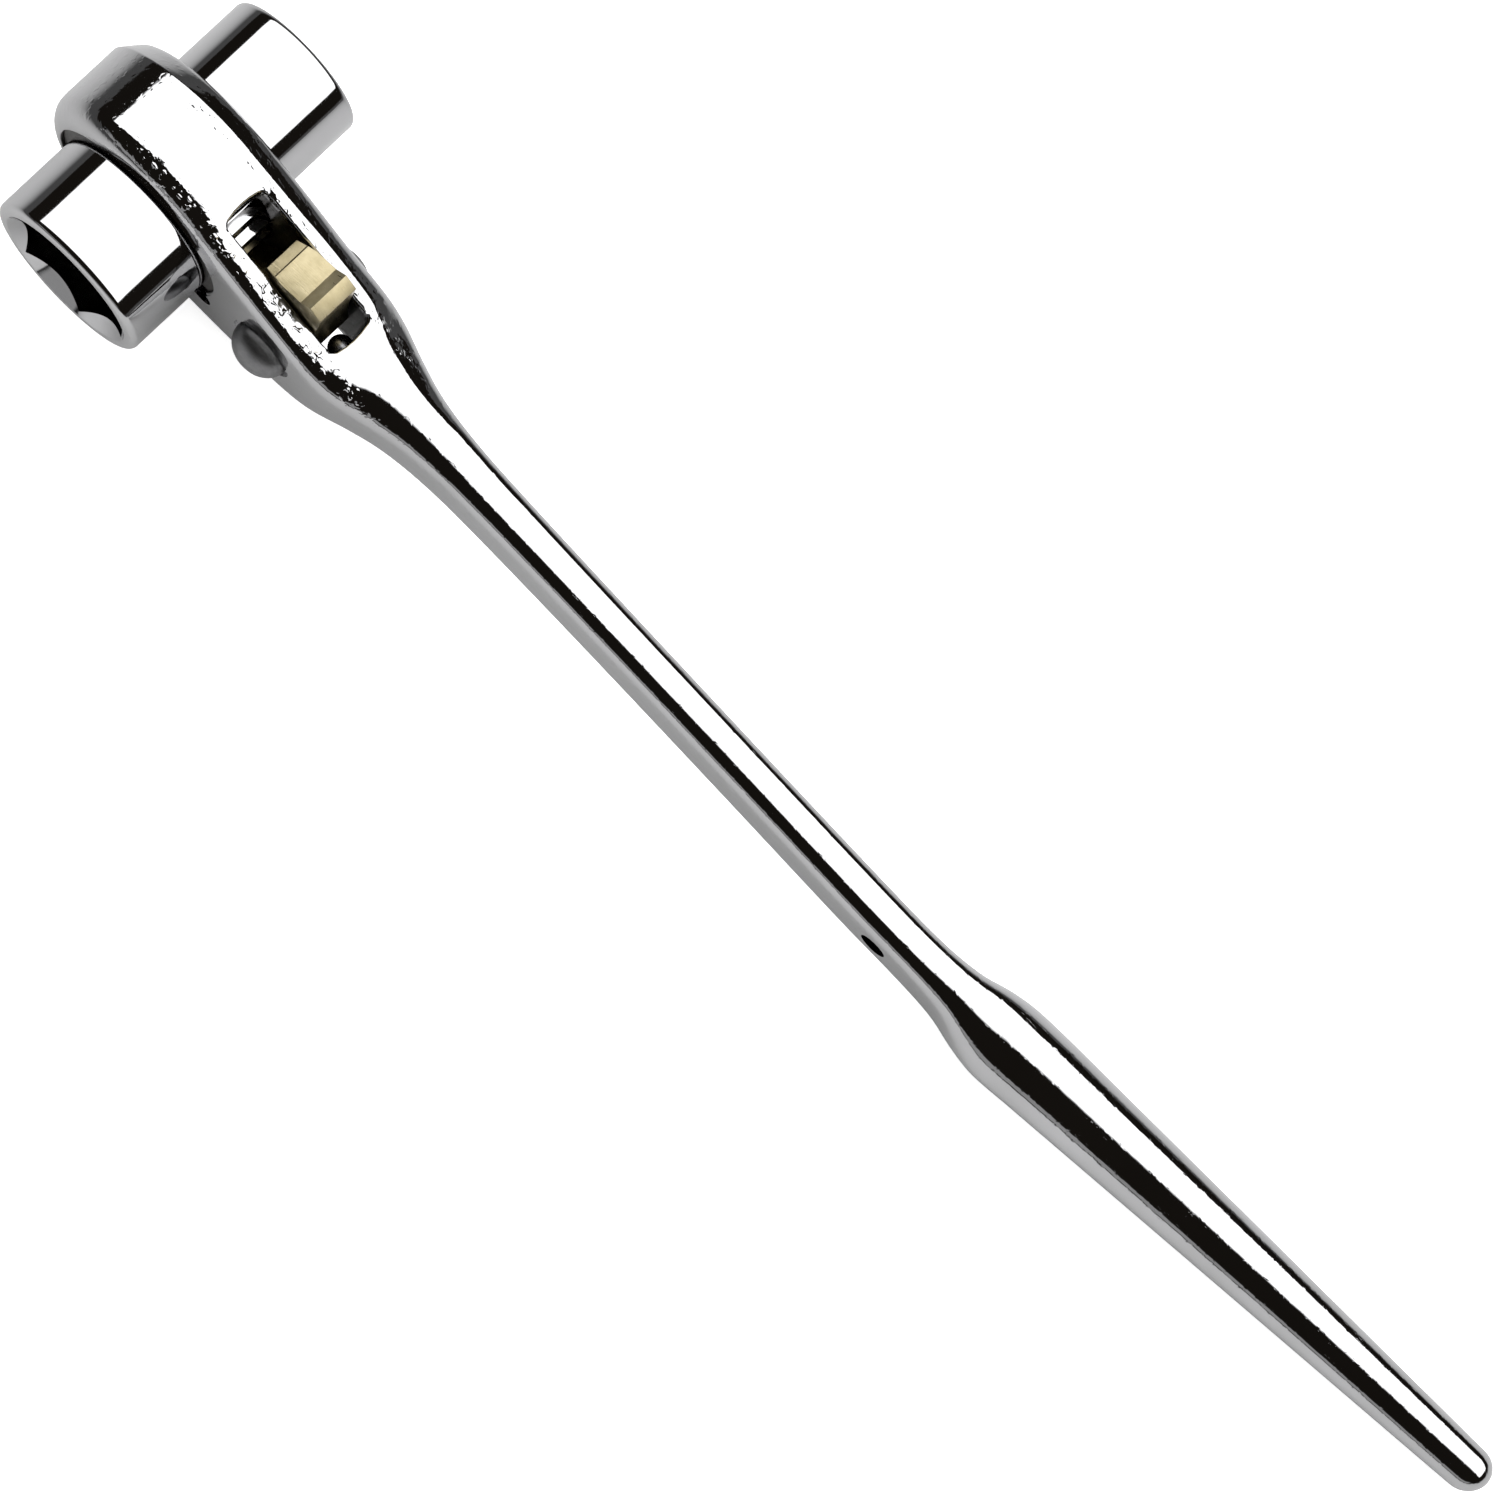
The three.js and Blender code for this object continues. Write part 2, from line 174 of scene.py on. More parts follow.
# Plated metal: soft orange peel, pits where the forging is rough, fine handling scratches.
def makePlating():
    group, source, sink = shaderGroup(
        "platedSkin",
        [("Vector", "NodeSocketVector", None), ("Rough Zone", "NodeSocketFloat", 0.0),
         ("Peel", "NodeSocketFloat", 1.0), ("Scratches", "NodeSocketFloat", 0.5)],
        [("Height", "NodeSocketFloat"), ("Shade", "NodeSocketFloat"), ("Haze", "NodeSocketFloat")])
    vector = source.outputs["Vector"]
    peel = addMath(group, "MULTIPLY", noiseAt(group, vector, 260, 2), source.outputs["Peel"])
    lumps = remap(group, noiseAt(group, vector, 420, 2, 0.5), 0.35, 0.65, 0, 1)
    pits = remap(group, noiseAt(group, vector, 900, 1, 0.5), 0.56, 0.74, 0, 1)
    marks = addMath(group, "ADD", addMath(group, "MULTIPLY", lumps, 0.45), pits)
    forged = addMath(group, "MULTIPLY", marks, source.outputs["Rough Zone"])
    stretch = addNode(group, "ShaderNodeMapping", in_Scale=(0.05, 1.0, 1.0))
    group.links.new(vector, stretch.inputs["Vector"])
    drawn = noiseAt(group, stretch.outputs["Vector"], 5200, 2, 0.7)
    scratch = remap(group, drawn, 0.66, 0.72, 0, 1)
    handled = remap(group, noiseAt(group, vector, 90, 2), 0.5, 0.65, 0, 1)      # where hands and bags rub
    scratch = addMath(group, "MULTIPLY", scratch, handled)
    scratch = addMath(group, "MULTIPLY", scratch, source.outputs["Scratches"])
    height = addMath(group, "ADD", addMath(group, "MULTIPLY", peel, 0.25), forged)
    height = addMath(group, "SUBTRACT", height, addMath(group, "MULTIPLY", scratch, 0.04))
    group.links.new(height, sink.inputs["Height"])
    group.links.new(remap(group, noiseAt(group, vector, 45, 4, 0.6), 0.3, 0.7, 0, 1), sink.inputs["Shade"])
    dulled = addMath(group, "MULTIPLY", scratch, 0.7)
    haze = addMath(group, "ADD", noiseAt(group, vector, 120, 4, 0.65), dulled)
    group.links.new(haze, sink.inputs["Haze"])
    return group


# Satin metal: grain drawn along one direction, with a faint mottling of the tint.
def makeGrain():
    group, source, sink = shaderGroup(
        "drawnGrain",
        [("Vector", "NodeSocketVector", None), ("Fineness", "NodeSocketFloat", 4000.0)],
        [("Height", "NodeSocketFloat"), ("Shade", "NodeSocketFloat")])
    stretch = addNode(group, "ShaderNodeMapping", in_Scale=(0.12, 1.0, 0.12))
    group.links.new(source.outputs["Vector"], stretch.inputs["Vector"])
    grain = addNode(group, "ShaderNodeTexNoise", in_Detail=3.0, in_Roughness=0.6)
    group.links.new(stretch.outputs["Vector"], grain.inputs["Vector"])
    group.links.new(source.outputs["Fineness"], grain.inputs["Scale"])
    group.links.new(grain.outputs["Fac"], sink.inputs["Height"])
    mottle = remap(group, noiseAt(group, source.outputs["Vector"], 380, 4, 0.6), 0.3, 0.7, 0, 1)
    group.links.new(mottle, sink.inputs["Shade"])
    return group


platedSkin = makePlating()
drawnGrain = makeGrain()


def blankMaterial(name, metallic=1.0, **settings):
    material = bpy.data.materials.new(name)
    material.use_nodes = True
    shader = material.node_tree.nodes["Principled BSDF"]
    shader.inputs["Metallic"].default_value = metallic
    for key, value in settings.items():
        shader.inputs[key].default_value = value
    return material, material.node_tree, shader


def tintBetween(tree, factor, dark, light):
    mix = tree.nodes.new("ShaderNodeMix")
    mix.data_type = "RGBA"
    tree.links.new(factor, mix.inputs[0])
    mix.inputs[6].default_value = (*dark, 1)
    mix.inputs[7].default_value = (*light, 1)
    return mix.outputs[2]


def mixColours(tree, factor, first, second):
    mix = tree.nodes.new("ShaderNodeMix")
    mix.data_type = "RGBA"
    for socket, value in zip((mix.inputs[0], mix.inputs[6], mix.inputs[7]), (factor, first, second)):
        tree.links.new(value, socket)
    return mix.outputs[2]


def addBump(tree, shader, height, distance, strength):
    bump = addNode(tree, "ShaderNodeBump", in_Strength=strength, in_Distance=distance)
    tree.links.new(height, bump.inputs["Height"])
    tree.links.new(bump.outputs["Normal"], shader.inputs["Normal"])


# Painted shade: the near-black tint that stands in for the shadow deep in the window, the bore and the
# socket.
shadedWalls = {"dark": (0.022, 0.020, 0.018), "light": (0.05, 0.045, 0.04), "duller": 0.3}


# Chrome on the outside, and painted shade, a near-black tint with duller sheen, where the piece's shade
# attribute is 1.
def platedMaterial(name, look):
    material, tree, shader = blankMaterial(name)
    place = tree.nodes.new("ShaderNodeTexCoord")
    skin = addNode(tree, "ShaderNodeGroup", node_tree=platedSkin)
    skin.inputs["Peel"].default_value = look["peel"]
    skin.inputs["Scratches"].default_value = look["scratches"]
    tree.links.new(place.outputs["Object"], skin.inputs["Vector"])
    if look["forged"]:
        zone = addNode(tree, "ShaderNodeAttribute", attribute_name="forging")
        tree.links.new(zone.outputs["Fac"], skin.inputs["Rough Zone"])
    paintedShade = addNode(tree, "ShaderNodeAttribute", attribute_name="paintedShade").outputs["Fac"]
    plated = tintBetween(tree, skin.outputs["Shade"], look["dark"], look["light"])
    shadeTint = tintBetween(tree, skin.outputs["Shade"], shadedWalls["dark"], shadedWalls["light"])
    tree.links.new(mixColours(tree, paintedShade, plated, shadeTint), shader.inputs["Base Color"])
    low, high = look["roughness"]
    sheen = remap(tree, skin.outputs["Haze"], 0.3, 1.2, low, high)
    duller = addMath(tree, "MULTIPLY", paintedShade, shadedWalls["duller"])
    tree.links.new(addMath(tree, "ADD", sheen, duller), shader.inputs["Roughness"])
    addBump(tree, shader, skin.outputs["Height"], look["depth"], 1.0)
    return material


def satinMaterial(name, look):
    material, tree, shader = blankMaterial(name)
    place = tree.nodes.new("ShaderNodeTexCoord")
    grain = addNode(tree, "ShaderNodeGroup", node_tree=drawnGrain)
    grain.inputs["Fineness"].default_value = look["fineness"]
    tree.links.new(place.outputs["Object"], grain.inputs["Vector"])
    tree.links.new(tintBetween(tree, grain.outputs["Shade"], look["dark"], look["light"]),
                   shader.inputs["Base Color"])
    low, high = look["roughness"]
    tree.links.new(remap(tree, grain.outputs["Height"], 0.3, 0.7, low, high), shader.inputs["Roughness"])
    addBump(tree, shader, grain.outputs["Height"], look["depth"], 1.0)
    return material


bodyChrome = platedMaterial("bodyChrome", {
    "dark": (0.50, 0.50, 0.505), "light": (0.56, 0.56, 0.57), "roughness": (0.03, 0.11),
    "peel": 0.5, "scratches": 0.5, "forged": True, "depth": 0.00022})
socketChrome = platedMaterial("socketChrome", {
    "dark": (0.52, 0.52, 0.525), "light": (0.57, 0.57, 0.58), "roughness": (0.03, 0.09),
    "peel": 0.3, "scratches": 0.4, "forged": False, "depth": 0.0001})
nickelSatin = satinMaterial("nickelSatin", {
    "dark": (0.34, 0.29, 0.17), "light": (0.44, 0.38, 0.24), "roughness": (0.26, 0.40),
    "fineness": 4200, "depth": 0.00003})
rivetSteel = satinMaterial("rivetSteel", {
    "dark": (0.20, 0.20, 0.205), "light": (0.27, 0.27, 0.275), "roughness": (0.36, 0.46),
    "fineness": 2600, "depth": 0.00004})
springSteel = satinMaterial("springSteel", {
    "dark": (0.20, 0.20, 0.21), "light": (0.32, 0.32, 0.33), "roughness": (0.2, 0.35),
    "fineness": 3600, "depth": 0.00002})
print("materials ready")


# The forged body.
forging = {
    "headRadius": 21.45, "nearFaceY": -9.1, "farFaceY": 10.15, "beyondFaces": 14,
    "windowStart": 11.5, "windowEnd": 37.6, "windowHalf": 4.3,
    "windowBulge": 0.7,                  # how far the window's ends bow out
    "windowCorner": 1.1, "wallCuts": 15, "lip": 0.85,
    "boreRadius": 17.3, "boreLip": 0.35, "shoulderY": 4.8, "shoulderHole": 13.85,
    "grooveRadius": 18.3, "grooveFaceY": -8.3, "grooveSlack": 0.15, "grooveDepth": 1.05,
    "notchAt": -21, "notchOut": 17.6, "notchRadius": 2.1,
    "pinHole": 2.75, "seatRadius": 6.1, "seatY": -9.2, "beyondNeck": 12,
    "plungerHole": 2.45, "plungerHoleStart": 34, "plungerHoleEnd": 52,
    "lanyardX": 166, "lanyardRadius": 2.5, "tipX": 298.45,
    "hammer": 0.10,                      # depth of the hammer marks
}
# x, low Y, high Y, half height, then how far the low and the high corner reach in Y and in Z
sections = [
    (7, -9.1, 10.15, 20.2, 4.6, 4.4, 4.0, 3.9),
    (16, -9.35, 10.0, 17.6, 3.2, 3.4, 3.8, 4.0),
    (27, -9.6, 9.75, 14.3, 2.4, 3.0, 3.4, 4.2),
    (37, -9.6, 9.7, 11.2, 3.2, 3.0, 3.9, 4.4),
    (42, -9.1, 9.3, 10.0, 4.8, 3.6, 5.6, 5.8),
    (48, -7.4, 7.5, 9.0, 6.0, 4.3, 5.0, 5.4),
    (54, -5.8, 5.85, 8.2, 4.9, 4.0, 4.2, 4.6),
    (61, -4.75, 4.75, 7.6, 3.9, 3.5, 3.7, 3.5),
    (70, -4.2, 4.3, 7.2, 3.3, 3.2, 3.3, 3.2),
    (95, -3.85, 4.05, 7.0, 3.0, 3.0, 3.2, 3.2),
    (130, -3.8, 3.9, 7.0, 3.0, 3.0, 3.2, 3.2),
    (160, -3.9, 3.9, 7.0, 3.0, 3.0, 3.2, 3.2),
    (173, -3.75, 4.2, 7.0, 3.1, 3.1, 3.4, 3.4),
    (181, -4.15, 5.3, 7.15, 4.1, 4.1, 4.2, 4.2),
    (187, -5.6, 7.4, 7.3, 5.8, 6.0, 5.8, 6.0),
    (192, -6.3, 8.6, 7.45, 7.4, 7.4, 7.4, 7.4),
]
spike = {"startX": 200, "startY": 1.8, "radius": 7.3, "tipRadius": 3.8, "lean": 0.0728, "dome": 4.0}


def spikeSection(x):
    along = (x - spike["startX"]) / (forging["tipX"] - spike["startX"])
    radius = spike["radius"] + (spike["tipRadius"] - spike["radius"]) * along
    into = max(0.0, (x - forging["tipX"] + spike["dome"]) / spike["dome"])
    radius *= math.sqrt(max(0.0004, 1 - into * into))
    middle = spike["startY"] + (x - spike["startX"]) * spike["lean"]
    return (x, middle - radius, middle + radius, radius, radius, radius, radius, radius)


sections += [spikeSection(x) for x in (200, 210, 225, 250)]


def sectionAt(x):
    if x >= spike["startX"] + 25:
        return spikeSection(x)
    rows = sections
    index = max(i for i, row in enumerate(rows) if row[0] <= max(x, rows[0][0]))
    index = min(index, len(rows) - 2)
    before, start, end, after = (rows[max(index - 1, 0)], rows[index], rows[index + 1],
                                 rows[min(index + 2, len(rows) - 1)])
    span = end[0] - start[0]
    t = unit((x - start[0]) / span)
    values = [x]
    for k in range(1, 8):
        slopeIn = (end[k] - before[k]) / max(end[0] - before[0], 1e-6) * span
        slopeOut = (after[k] - start[k]) / max(after[0] - start[0], 1e-6) * span
        values.append((2 * t**3 - 3 * t**2 + 1) * start[k] + (t**3 - 2 * t**2 + t) * slopeIn
                      + (3 * t**2 - 2 * t**3) * end[k] + (t**3 - t**2) * slopeOut)
    if x < rows[0][0]:
        values[3] = math.sqrt(forging["headRadius"] ** 2 - x * x)
    return tuple(values)


# A corner from the top inward to the wall: a small round, a straight flank, then a larger round.
# Returns (inward along Y, down) pairs that start at (0, 0) and end at (reachY, reachZ).
def flankedCorner(reachY, reachZ, angle, firstRound, steps):
    sine, cosine = math.sin(angle), math.cos(angle)
    acrossLeft = reachY - firstRound * sine
    downLeft = reachZ - firstRound * (1 - cosine)
    flank = (acrossLeft * cosine - (1 - sine) * downLeft) / (1 - sine)
    lastRound = (downLeft * cosine - sine * acrossLeft) / (1 - sine)
    third = steps // 3
    points = []
    for i in range(third):
        a = angle * i / third
        points.append((firstRound * math.sin(a), firstRound * (1 - math.cos(a))))
    y, z = firstRound * sine, firstRound * (1 - cosine)
    for i in range(third):
        points.append((y + flank * cosine * i / third, z + flank * sine * i / third))
    y, z = y + flank * cosine, z + flank * sine
    for i in range(third + 1):
        a = angle + (math.pi / 2 - angle) * i / third
        points.append((y + lastRound * (math.sin(a) - sine), z + lastRound * (cosine - math.cos(a))))
    scaleY, scaleZ = reachY / points[-1][0], reachZ / points[-1][1]
    return [(py * scaleY, pz * scaleZ) for py, pz in points]


def pick(points, count):
    return [points[round(i * (len(points) - 1) / (count - 1))] for i in range(count)]


# One side of a section from low Y to high Y: side wall, corner, top with the window's columns,
# corner, side wall. Returns (height, y) pairs.
def sectionProfile(x):
    _, low, high, height, lowY, lowZ, highY, highZ = sectionAt(x)
    middle, width = (low + high) / 2, high - low
    neck = sectionAt(38.3)
    share = 1.0 if x <= 38.3 else min(1.0, width / (neck[2] - neck[1]))
    offset = 0.0 if x <= 38.3 else middle - share * (neck[1] + neck[2]) / 2
    blend = unit((62 - x) / 12)                            # the head and neck have flanked corners
    samples = 48
    angles = [math.pi / 2 * i / samples for i in range(samples + 1)]
    ellipse = [(math.sin(a), 1 - math.cos(a)) for a in angles]
    flanked = flankedCorner(highY, highZ, math.radians(36), 0.7, samples) if blend > 0 else ellipse
    lowCorner = [(height - lowZ * down, low + lowY * (1 - inward)) for inward, down in reversed(ellipse)]
    highCorner = [(height - blend * flankDown - (1 - blend) * highZ * down,
                   high - highY + blend * flankIn + (1 - blend) * highY * inward)
                  for (flankIn, flankDown), (inward, down) in zip(flanked, ellipse)]
    curve = lowCorner + highCorner

    def heightAt(y):
        for (h0, y0), (h1, y1) in zip(curve, curve[1:]):
            if y0 <= y <= y1 and y1 > y0:
                return h0 + (h1 - h0) * (y - y0) / (y1 - y0)
        return height

    columns = [offset + share * y for y in (-5.4, -4.3, -3.2, -1.6, 0.0, 1.6, 3.2, 4.3, 5.4)]
    lowSteep = [point for point in lowCorner if point[1] < columns[0] - 0.08 * width / 19]
    highSteep = [point for point in highCorner if point[1] > columns[-1] + 0.08 * width / 19]
    corner, wall = 10, 4
    profile = [((height - lowZ) * i / wall, low) for i in range(wall)]
    profile += pick(lowSteep, corner)
    profile += [(heightAt(y), y) for y in columns]
    profile += pick(highSteep, corner)
    profile += [((height - highZ) * i / wall, high) for i in range(wall - 1, -1, -1)]
    return profile


def stationsAlong():
    start, end = forging["windowStart"], forging["windowEnd"]
    stops = [0, 1.4, 2.8, 4.2, 5.6, 7, 8, 9, 10.2, start]
    stops += [start + (end - start) * i / 26 for i in range(1, 27)]
    stops += [38.9] + list(range(40, 53)) + [53.2, 54.5] + list(range(56, 70, 2))
    stops += [70 + 3 * i for i in range(34)]
    stops += [171 + 1.2 * i for i in range(25)]
    stops += [202 + 3 * i for i in range(31)]
    dome = forging["tipX"] - spike["dome"]
    stops += [dome + spike["dome"] * math.sin(i / 9 * math.pi / 2) for i in range(10)]
    return stops


def windowShift(x, y):
    half, bulge = forging["windowHalf"], forging["windowBulge"]
    if abs(y) > half:
        return 0.0
    bow = bulge * (1 - (y / half) ** 2)
    start, end = forging["windowStart"], forging["windowEnd"]
    near = max(0.0, 1 - abs(x - start) / 3.0)
    far = max(0.0, 1 - abs(x - end) / 3.0)
    return bow * (far - near)


def ringPoints(x):
    top = []
    for height, y in sectionProfile(x):
        shift = windowShift(x, y) if 6 < x < 42 else 0.0
        if shift:
            moved = sectionAt(x + shift)[3] - sectionAt(x)[3]
            top.append((x + shift, y, height + moved))
        else:
            top.append((x, y, height))
    bottom = [(px, py, -pz) for px, py, pz in reversed(top)]
    return top[:-1] + bottom[:-1]      # both sides meet on the mid plane


def buildForging():
    bm = bmesh.new()
    profile = sectionProfile(0)
    verts, edges = chain(bm, [(0, y, height) for height, y in profile])
    bmesh.ops.spin(bm, geom=verts + edges, axis=(0, 1, 0), cent=(0, 0, 0), steps=72, angle=-math.pi)
    bmesh.ops.remove_doubles(bm, verts=bm.verts, dist=1e-4)
    # the open ring on the plane x = 0, in the order that ringPoints uses
    rim = [vert for vert in bm.verts if abs(vert.co.x) < 1e-3]
    first = ringPoints(0)
    ring = [min(rim, key=lambda vert, p=Vector(point): (vert.co - p).length) for point in first]
    count = len(ring)
    loop = [bm.edges.get((ring[i], ring[(i + 1) % count])) for i in range(count)]
    for x in stationsAlong()[1:]:
        grown = bmesh.ops.extrude_edge_only(bm, edges=loop)["geom"]
        fresh = [item for item in grown if isinstance(item, bmesh.types.BMVert)]
        follow = {}
        for vert in ring:
            for edge in vert.link_edges:
                other = edge.other_vert(vert)
                if other in fresh:
                    follow[vert] = other
        ring = [follow[vert] for vert in ring]
        for vert, point in zip(ring, ringPoints(x)):
            vert.co = point
        loop = [bm.edges.get((ring[i], ring[(i + 1) % count])) for i in range(count)]
    bm.faces.new(ring)
    bmesh.ops.recalc_face_normals(bm, faces=bm.faces)
    return bm


def faceInWindow(face):
    zs = [vert.co.z for vert in face.verts]
    return max(zs) - min(zs) > 12          # a wall runs from one opening right through to the other


def openWindow(bm):
    half, start, end = forging["windowHalf"], forging["windowStart"], forging["windowEnd"]
    for side in (1, -1):
        gone = []
        for face in bm.faces:
            centre = face.calc_center_median()
            if centre.z * side > 9 and abs(centre.y) < half and face.normal.z * side > 0.2:
                xs = [vert.co.x for vert in face.verts]
                if min(xs) > start - 1 and max(xs) < end + 1 and start - 0.6 < centre.x < end + 0.6:
                    gone.append(face)
        bmesh.ops.delete(bm, geom=gone, context="FACES")
    edges = [edge for edge in bm.edges if edge.is_boundary]
    wallSet = set(bmesh.ops.bridge_loops(bm, edges=edges)["faces"])
    bmesh.ops.recalc_face_normals(bm, faces=bm.faces)
    posts = [edge for edge in bm.edges if len(edge.link_faces) == 2
             and all(face in wallSet for face in edge.link_faces)
             and edge.calc_face_angle() > math.radians(40)]
    bmesh.ops.bevel(bm, geom=posts, offset=forging["windowCorner"], offset_type="OFFSET", segments=4,
                    profile=0.5, affect="EDGES", material=-1, clamp_overlap=True)
    wallSet = {face for face in bm.faces if abs(face.normal.z) < 0.3 and faceInWindow(face)}
    lips = [edge for edge in bm.edges
            if sum(face in wallSet for face in edge.link_faces) == 1]
    bmesh.ops.bevel(bm, geom=lips, offset=forging["lip"], offset_type="OFFSET", segments=5, profile=0.5,
                    affect="EDGES", material=-1, clamp_overlap=True)
    tall = {edge for face in bm.faces if faceInWindow(face) for edge in face.edges
            if abs(edge.verts[0].co.z - edge.verts[1].co.z) > 12}
    bmesh.ops.subdivide_edges(bm, edges=list(tall), cuts=forging["wallCuts"], use_grid_fill=True)


def discCutter(radius, fromY, toY, steps=96, lip=0.0, lipAt=None):
    profile = [(0, fromY), (radius, fromY), (radius, toY), (0, toY)]
    if lip:
        out = 1 if lipAt > (fromY + toY) / 2 else -1
        flare = [(radius + lip * (1 - math.cos(a)), lipAt - out * lip * (1 - math.sin(a)))
                 for a in (math.pi / 2 * i / 4 for i in range(5))]
        flare.append((radius + lip, lipAt + out * 3))
        if out < 0:
            profile = [(0, flare[-1][1])] + flare[::-1] + [(radius, toY), (0, toY)]
        else:
            profile = [(0, fromY), (radius, fromY)] + flare + [(0, flare[-1][1])]
    return turned(profile, steps)


def shifted(bm, x, y=0.0, z=0.0):
    bmesh.ops.translate(bm, vec=(x, y, z), verts=bm.verts)
    return bm


rough = {
    "near": (-6.3, 2.0, 1.0), "far": (5.2, 1.3, 0.5),   # middle and reach in Y, and strength, of each strip
    "startX": -14, "startFade": 10, "endX": 58, "endFade": 14, "lowZ": 5, "riseZ": 4,
    "patchScale": 0.35, "evenly": 0.35, "onHead": 0.06, "onHandle": 0.05, "handleX": 62,
}
wallShade = {
    "startX": 5, "endX": 46, "beyondWindow": 0.3, "skin": 1.0, "fade": 0.8,
    "beyondBore": 0.6, "nearY": -8.9, "farY": 9.8,
}


# How rough the forging is under its plating: most beside the window, where it was trimmed.
def forgingRoughness(x, y, z):
    if x > rough["handleX"]:
        return rough["onHandle"]
    centre, reach, share = rough["near"] if y < 0 else rough["far"]
    beside = max(0.0, 1 - abs(y - centre) / reach) * share
    along = unit((x - rough["startX"]) / rough["startFade"]) * unit((rough["endX"] - x) / rough["endFade"])
    facing = unit((abs(z) - rough["lowZ"]) / rough["riseZ"])
    patch = 0.5 + 0.5 * noise.noise(Vector((x, y, z)) * rough["patchScale"])
    return rough["onHead"] + beside * along * facing * (rough["evenly"] + patch)


# 1 on the walls of the window and the bore, which get painted shade, 0 on the plated skin.
def bodyShadeMask(x, y, z):
    radius = math.hypot(x, z)
    nearWindow = abs(y) < forging["windowHalf"] + wallShade["beyondWindow"]
    if nearWindow and wallShade["startX"] < x < wallShade["endX"]:
        depth = sectionAt(x)[3] - abs(z)
        return unit((depth - wallShade["skin"]) / wallShade["fade"])
    nearBore = radius < forging["boreRadius"] + wallShade["beyondBore"]
    return 1.0 if nearBore and wallShade["nearY"] < y < wallShade["farY"] else 0.0


def paintPoints(piece, name, rule):
    marks = piece.data.attributes.new(name, "FLOAT", "POINT")
    marks.data.foreach_set("value", [rule(*vert.co) for vert in piece.data.vertices])


def makeBody():
    bm = buildForging()
    openWindow(bm)
    for vert in bm.verts:          # hammer marks that the plating follows
        x, y, z = vert.co
        amount = forgingRoughness(x, y, z)
        sway = noise.noise(Vector((x * 0.45, y * 0.6, z * 0.45)))
        if amount > 0.1 and vert.normal.length > 0:
            vert.co -= vert.normal * forging["hammer"] * amount * (0.5 + 0.5 * sway)
    body = meshObject("forgedSkin", bm)
    beyondHead, beyondNeck, lip = forging["beyondFaces"], forging["beyondNeck"], forging["boreLip"]
    grooveFloor = forging["grooveFaceY"] + forging["grooveDepth"]
    cut(body, discCutter(forging["boreRadius"], -beyondHead, forging["shoulderY"], 128, lip,
                         forging["nearFaceY"]))
    cut(body, discCutter(forging["shoulderHole"], 0, beyondHead, 128, lip, forging["farFaceY"]))
    cut(body, discCutter(forging["grooveRadius"], forging["grooveFaceY"] - forging["grooveSlack"],
                         grooveFloor, 128))
    notchAngle, notchOut = math.radians(forging["notchAt"]), forging["notchOut"]
    notch = discCutter(forging["notchRadius"], -beyondNeck, grooveFloor, 40)
    cut(body, shifted(notch, notchOut * math.cos(notchAngle), 0, notchOut * math.sin(notchAngle)))
    cut(body, shifted(discCutter(forging["pinHole"], -beyondNeck, beyondNeck, 40), pinX))
    cut(body, shifted(discCutter(forging["seatRadius"], -beyondNeck, forging["seatY"], 56), pinX))
    lanyard = discCutter(forging["lanyardRadius"], -beyondNeck, beyondNeck, 48)
    cut(body, shifted(lanyard, forging["lanyardX"]))
    hole = discCutter(forging["plungerHole"], forging["plungerHoleStart"], forging["plungerHoleEnd"], 32)
    bmesh.ops.rotate(hole, verts=hole.verts, cent=(0, 0, 0), matrix=Matrix.Rotation(-math.pi / 2, 3, "Z"))
    cut(body, hole)
    paintPoints(body, "forging", forgingRoughness)
    paintPoints(body, "paintedShade", bodyShadeMask)
    finishPiece(body, bodyChrome, "handle", ["forged_body"], 38)


makeBody()

# The double-ended socket and its ratchet wheel.
socket = {
    "large": {"radius": 15.5, "mouthY": -25.0, "across": 22.2, "depth": 17.0},
    "small": {"radius": 13.3, "mouthY": 26.899, "across": 19.2, "depth": 18.0},
    "lip": 1.1, "throughRadius": 8.6, "hexTurn": 37, "leadDepth": 2.4,
    "brightDepth": 2.2, "brightWall": 0.6,       # how far in from the mouth and the outside it stays bright
    "teeth": 24, "tipRadius": 17.0, "rootRadius": 15.35, "halfWidth": 4.5,
    "rootTurn": 1.9, "tipTurn": 2, "toothEdge": 0.16,
}


def hexCutter(size):
    out = math.copysign(1, size["mouthY"])
    corner = size["across"] / math.sqrt(3)
    bm = bmesh.new()
    bmesh.ops.create_cone(bm, cap_ends=True, segments=6, radius1=corner, radius2=corner,
                          depth=size["depth"] + 4)
    bmesh.ops.rotate(bm, verts=bm.verts, cent=(0, 0, 0), matrix=Matrix.Rotation(math.pi / 2, 3, "X"))
    # a corner of the hex stands hexTurn degrees round from Z
    angle = math.atan2(bm.verts[:][0].co.x, bm.verts[:][0].co.z)
    turn = math.radians(socket["hexTurn"]) - angle
    bmesh.ops.rotate(bm, verts=bm.verts, cent=(0, 0, 0), matrix=Matrix.Rotation(turn, 3, "Y"))
    return shifted(bm, 0, size["mouthY"] - out * (size["depth"] / 2 - 2))


def leadCutter(size):
    out = math.copysign(1, size["mouthY"])
    corner = size["across"] / math.sqrt(3)
    wide, narrow = corner + 0.5, size["across"] / 2 - 0.4
    deep = socket["leadDepth"]
    profile = [(0, -0.3), (wide, -0.3), (wide, 0.0), (narrow, deep), (0, deep)]
    points = [(radius, size["mouthY"] - out * (y - 0.05)) for radius, y in profile]
    return turned(points, 96)


# Painted shade: 1 deep in the hex bore, which is tinted near-black for the shadow there, 0 near the mouth and
# the outside.
def barrelShadeMask(size, x, y, z):
    deep = abs(size["mouthY"] - y) > socket["brightDepth"]
    return 1.0 if deep and math.hypot(x, z) < size["radius"] - socket["brightWall"] else 0.0


